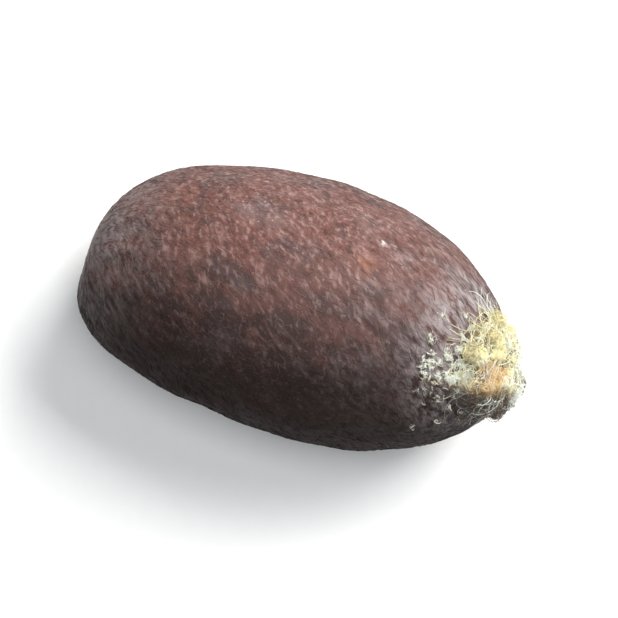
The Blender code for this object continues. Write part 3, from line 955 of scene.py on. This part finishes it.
class SEED_OT_lint_felt(bpy.types.Operator):
    """Builds the lumpy mat of lint on the point and puts it in place of the tuft's solid"""

    bl_idname = "cotton_seed.lint_felt"
    bl_label = "Lint mat"

    def execute(self, context):
        """The outer skin follows the mat's height, and the inner lies just under the coat's."""
        around, rings = 180, 50
        turns = np.arange(around)[None, :] * (2 * math.pi / around)
        shares = np.arange(1, rings + 1)[:, None] / rings
        t, turn = cap_spot(turns, shares), turns + 0 * shares
        fluff = FLUFF_HEIGHT * ripples(plain_point(t, turn), FLUFF_LENGTH, seed=31)
        edge = smooth_step(1.0, 0.86, shares)
        mat, cap = mat_height(t, turn), cap_height(turn, shares)
        height = np.maximum((mat - FELT_UNDER_MAT + fluff) * (0.2 + 0.8 * edge), 0.01)
        crest = np.clip((mat - cap) / 0.12, 0, 1)
        outer = above_coat(t, turn, height)
        inner = above_coat(t, turn, FELT_UNDER_COAT)[::-1]
        top = above_coat(1.0, 0.0, CAP_GAP + CAP_THICKNESS)
        bottom = above_coat(1.0, 0.0, FELT_UNDER_COAT)
        skin = lie(np.concatenate([outer, inner]))
        felt = closed_skin("lint_felt", lie(top), skin, lie(bottom))
        felt.data.flip_normals()
        crests = np.concatenate([crest[:1, :1].ravel(), crest.ravel(), 0 * crest.ravel(), [0]])
        put_attribute(felt, "crest", np.repeat(crests[:, None], 3, axis=1))
        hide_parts("lint_tuft")
        finish_lint(felt, felt_finish(settings_of(context).lint))
        return {"FINISHED"}


class SEED_OT_lint_clumps(bpy.types.Operator):
    """Curls fibres round each clump, with some loose ends that stand off it"""

    bl_idname = "cotton_seed.lint_clumps"
    bl_label = "Clumps"

    def execute(self, context):
        """A fibre is an arc round its clump's middle, from a random start towards a random side."""
        settings = settings_of(context).lint
        draw = np.random.default_rng(CLUMP_SEED)
        middles, ball = clump_balls()
        each, rings = settings.clump_fibres, 8
        middle = np.repeat(middles, each, axis=0)[:, None]
        ball = np.repeat(ball, each)[:, None]
        count = len(ball)
        start = unit(draw.normal(size=(count, 1, 3)))
        aside = unit(np.cross(start, draw.normal(size=(count, 1, 3))))
        length = draw.uniform(*CLUMP_FIBRE_LENGTHS, (count, 1))
        s = np.linspace(-0.5, 0.5, rings)[None, :]
        way = swing(start, aside, s * length / ball)
        loose = draw.uniform(0, 1, (count, 1)) ** 4 * CLUMP_LOOSE_END
        uneven = 1 + 0.16 * ripples(start[:, 0] * 0.2 + middle[:, 0], 0.30, seed=45)[:, None]
        out = ball * uneven * draw.uniform(0.72, 1.15, (count, 1)) + loose * (s + 0.5) ** 1.5
        out = out + 0.016 * wiggle(draw, count, s, 6, 18)
        paths = middle + way * out[..., None]
        sway = 0.03 * wiggle(draw, count, s, 4, 12)
        paths = paths + np.cross(start, aside) * sway[..., None]
        radii = settings.radius * draw.uniform(0.7, 1.2, (count, 1)) * spindle(s)
        tones = np.repeat(draw.random(CLUMP_COUNT), each) * 0.75 + draw.random(count) * 0.3
        lint_strands("lint_clumps", paths, radii, tones, settings)
        return {"FINISHED"}


class SEED_OT_lint_locks(bpy.types.Operator):
    """Grows a bundle of fibres along each lock of the tuft"""

    bl_idname = "cotton_seed.lint_locks"
    bl_label = "Locks"

    def execute(self, context):
        """A fibre runs back from the root and winds round the lock's middle as that slims."""
        settings = settings_of(context).lint
        draw = np.random.default_rng(LOCK_SEED)
        each, rings = settings.lock_fibres, 9
        turn, length, thickness, stand, root, sweep = (
            np.repeat(part, each)[:, None] for part in draw_tuft()[1])
        count = len(turn)
        begin, end = draw.uniform(0.0, 0.4, (count, 1)), draw.uniform(0.6, 1.08, (count, 1))
        step = begin + (end - begin) * np.linspace(0, 1, rings)[None, :]
        t = np.clip(root - step * (1 - stand) * length / (LENGTH / 2), -0.999, 0.9995)
        here = turn + sweep * step * step
        slim = np.clip(1 - 0.75 * np.clip(step, 0, 1) ** 1.3, 0.1, 1)
        height = CAP_GAP * 1.5 + thickness / 2 * slim + stand * length * step
        around = draw.uniform(0, 2 * math.pi, (count, 1)) + draw.normal(0, 1.2, (count, 1)) * step
        out = np.sqrt(draw.random((count, 1))) * thickness * (0.35 + 0.35 * step)
        curl = draw.normal(0, 0.022, (count, 1)) * wiggle(draw, count, step, 4, 12)
        lift = np.maximum(height + out * np.sin(around) + curl, 0.0)
        aside = out * np.cos(around) + curl[:, ::-1]
        sideways = unit(np.cross(plain_normal(t, here), [1.0, 0.0, 0.0]))
        paths = above_coat(t, here, lift) + sideways * aside[..., None]
        taper = 1 - 0.7 * np.linspace(0, 1, rings)[None, :] ** 2
        radii = settings.radius * draw.uniform(0.7, 1.2, (count, 1)) * taper
        lint_strands("lint_locks", paths, radii, draw.random(count), settings)
        return {"FINISHED"}


class SEED_OT_lint_mat(bpy.types.Operator):
    """Lays curled fibres every way over the clumps, following the mat's surface"""

    bl_idname = "cotton_seed.lint_mat"
    bl_label = "Matted fibres"

    def execute(self, context):
        """A fibre runs over the coat at an angle that turns, close to the mat's height."""
        settings = settings_of(context).lint
        draw = np.random.default_rng(MAT_SEED)
        count, rings = settings.mat_fibres, 9
        turn = LINT_SIDE + draw.vonmises(0, 0.9, count)
        share = np.sqrt(draw.random(count)) * 1.05
        length = draw.uniform(*MAT_FIBRE_LENGTHS, (count, 1))
        step = np.linspace(0, 1, rings)[None, :]
        way = draw.uniform(0, 2 * math.pi, (count, 1)) + draw.normal(0, 1.3, (count, 1)) * step
        t_path, turn_path = run_over(cap_spot(turn, share), turn, length * step, way)
        close = smooth_step(1.25, 0.95, cap_share(t_path, turn_path))
        height = mat_height(t_path, turn_path) * close * draw.uniform(0.75, 1.08, (count, 1))
        height = height + 0.018 * wiggle(draw, count, step, 5, 16)
        paths = above_coat(t_path, turn_path, np.maximum(height, 0.004))
        radii = settings.radius * draw.uniform(0.7, 1.2, (count, 1)) * spindle(step - 0.5)
        lint_strands("lint_mat", paths, radii, draw.random(count), settings)
        return {"FINISHED"}


class SEED_OT_lint_nubs(bpy.types.Operator):
    """Scatters small white tangles over the coat behind the tuft, smaller the further back"""

    bl_idname = "cotton_seed.lint_nubs"
    bl_label = "Nubs"

    def execute(self, context):
        """A nub is a squashed ball of arcs, smaller the further it is from the tuft."""
        settings = settings_of(context).lint
        draw = np.random.default_rng(NUB_SEED)
        each, rings = NUB_FIBRES, 5
        back = NUBS_REACH * draw.random(settings.nubs) ** 2.2
        root_turn = NUBS_SIDE + draw.normal(0, NUBS_SPREAD, settings.nubs)
        root_t = NUBS_FRONT - back
        size = draw.uniform(*NUB_SIZES, settings.nubs) * (1 - 2.4 * back)
        middle = np.repeat(above_coat(root_t, root_turn, 0.5 * size), each, axis=0)[:, None]
        normal = np.repeat(plain_normal(root_t, root_turn), each, axis=0)[:, None]
        size = np.repeat(size, each)[:, None]
        count = len(size)
        start = unit(draw.normal(size=(count, 1, 3)) + 0.3 * normal)
        aside = unit(np.cross(start, draw.normal(size=(count, 1, 3))))
        s = np.linspace(-0.5, 0.5, rings)[None, :]
        way = swing(start, aside, s * draw.uniform(1.2, 3.0, (count, 1)))
        loose = draw.uniform(0, 1, (count, 1)) ** 4 * NUB_LOOSE_END * (s + 0.5) ** 1.4
        squash = np.repeat(draw.uniform(0.45, 1.5, (settings.nubs, 3)), each, axis=0)[:, None]
        out = size * draw.uniform(0.3, 1.1, (count, 1)) + loose
        paths = middle + way * squash * out[..., None]
        slimmer = np.repeat(1 - 2.0 * back, each)[:, None]
        radii = settings.radius * slimmer * draw.uniform(0.7, 1.1, (count, 1)) * spindle(s)
        tones = 0.66 + 0.34 * draw.random(count)
        lint_strands("lint_nubs", paths, radii, tones, settings)
        return {"FINISHED"}


class SEED_OT_lint_wisps(bpy.types.Operator):
    """Draws loose fibres out of the tuft, back over the coat or drooping from its low side"""

    bl_idname = "cotton_seed.lint_wisps"
    bl_label = "Wisps"

    def execute(self, context):
        """A fibre runs over the coat at an angle that turns, and rises with the length gone."""
        settings = settings_of(context).lint
        draw = np.random.default_rng(WISP_SEED)
        count, rings = WISPS, 9
        droops = np.arange(count) % DROOP_EVERY == 0
        turn = LINT_SIDE + np.where(
            droops, 0.75 + draw.normal(0, 0.25, count), 0.40 + draw.vonmises(0, 1.0, count))
        share = draw.uniform(0.3, 1.15, count)
        length = draw.uniform(*WISP_LENGTHS, (count, 1))
        step = np.linspace(0, 1, rings)[None, :]
        heading, spread = np.where(droops, math.pi / 2, math.pi), np.where(droops, 0.35, 1.0)
        way = heading + spread * draw.normal(size=count)
        way = way[:, None] + draw.normal(0, 0.8, (count, 1)) * step
        t_path, turn_path = run_over(cap_spot(turn, share), turn, length * step, way)
        close = smooth_step(1.2, 0.9, cap_share(t_path, turn_path))
        rise = draw.random((count, 1)) ** 3 * 0.22 * length * step * (1.1 - 0.5 * step)
        paths = above_coat(t_path, turn_path, 0.008 + mat_height(t_path, turn_path) * close + rise)
        radii = settings.radius * draw.uniform(0.6, 0.9, (count, 1)) * (1 - 0.75 * step**2)
        tones = np.where(droops, 1.0, 0.5 + 0.45 * draw.random(count))
        lint_strands("lint_wisps", paths, radii, tones, settings)
        return {"FINISHED"}


def area_light(name, place, target, size, power, colour):
    """A square lamp that stands at a place and faces a target."""
    light = bpy.data.lights.new(name, "AREA")
    light.size = size
    light.energy = power
    light.color = colour
    lamp = bpy.data.objects.new(name, light)
    lamp.location = place
    lamp.rotation_mode = "QUATERNION"
    lamp.rotation_quaternion = (target - place).to_track_quat("-Z", "Y")
    bpy.context.scene.collection.objects.link(lamp)


class SEED_OT_stage(bpy.types.Operator):
    """Lays the white floor, sets the light and stands the camera straight above the seed"""

    bl_idname = "cotton_seed.stage"
    bl_label = "Stage"

    def execute(self, context):
        settings = settings_of(context).stage
        scene = context.scene
        side = np.linspace(-0.5, 0.5, 2)
        corners = np.array([[x, y, 0.0] for y in side for x in side])
        floor = fill_mesh("floor", corners, np.array([[0, 1, 3, 2]]), np.zeros((0, 3), int))
        floor.data.materials.append(paper_finish(settings))
        world = bpy.data.worlds.new("room")
        world.use_nodes = True
        background = world.node_tree.nodes["Background"]
        background.inputs["Strength"].default_value = settings.sky
        background.inputs["Color"].default_value = SKY_COLOUR
        scene.world = world
        towards = Matrix.Rotation(settings.turn, 3, "Z") @ Vector(WINDOW_WAY)
        middle = Vector((0, 0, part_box("seed_coat")[1][2] / 2))
        area_light("window", middle + towards.normalized() * WINDOW_DISTANCE, middle,
                   WINDOW_SIZE, settings.key, WINDOW_COLOUR)
        area_light("ceiling", middle + Vector((0, 0, CEILING_HEIGHT)), middle,
                   CEILING_SIZE, settings.top, CEILING_COLOUR)
        camera = bpy.data.objects.new("camera", bpy.data.cameras.new("camera"))
        scene.collection.objects.link(camera)
        camera.data.lens = LENS
        camera.data.clip_start = CLIP_START
        reach = settings.view_width * camera.data.lens / camera.data.sensor_width
        camera.location = middle + Vector((0, 0, reach))
        camera.rotation_euler = (0, 0, settings.turn)
        scene.camera = camera
        scene.view_settings.view_transform = "Standard"
        return {"FINISHED"}


class SEED_PT_panel(bpy.types.Panel):
    """Lists the pieces of the seed"""

    bl_idname = "SEED_PT_panel"
    bl_label = "Cotton seed"
    bl_space_type = "VIEW_3D"
    bl_region_type = "UI"
    bl_category = "Cotton seed"

    def draw(self, context):
        settings = settings_of(context)
        for group, operators in PIECES:
            box = self.layout.box()
            for name in getattr(settings, group).__annotations__:
                box.prop(getattr(settings, group), name)
            for operator in operators:
                box.operator(operator.bl_idname)


PIECES = (
    ("coat", (SEED_OT_coat,)),
    ("nap", (SEED_OT_nap,)),
    ("lint", (SEED_OT_lint_felt, SEED_OT_lint_clumps, SEED_OT_lint_locks, SEED_OT_lint_mat,
              SEED_OT_lint_nubs, SEED_OT_lint_wisps)),
    ("stage", (SEED_OT_stage,)),
)
CLASSES = (
    CoatSettings, NapSettings, LintSettings, StageSettings, SeedSettings,
    *(operator for _, operators in PIECES for operator in operators), SEED_PT_panel,
)


def register():
    for cls in CLASSES:
        bpy.utils.register_class(cls)
    bpy.types.Scene.cotton_seed = bpy.props.PointerProperty(type=SeedSettings)


def unregister():
    del bpy.types.Scene.cotton_seed
    for cls in reversed(CLASSES):
        bpy.utils.unregister_class(cls)


def main():
    """Builds every piece in order."""
    register()
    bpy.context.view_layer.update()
    for _, operators in PIECES:
        for operator in operators:
            area, name = operator.bl_idname.split(".")
            getattr(getattr(bpy.ops, area), name)()


if __name__ == "__main__":
    main()
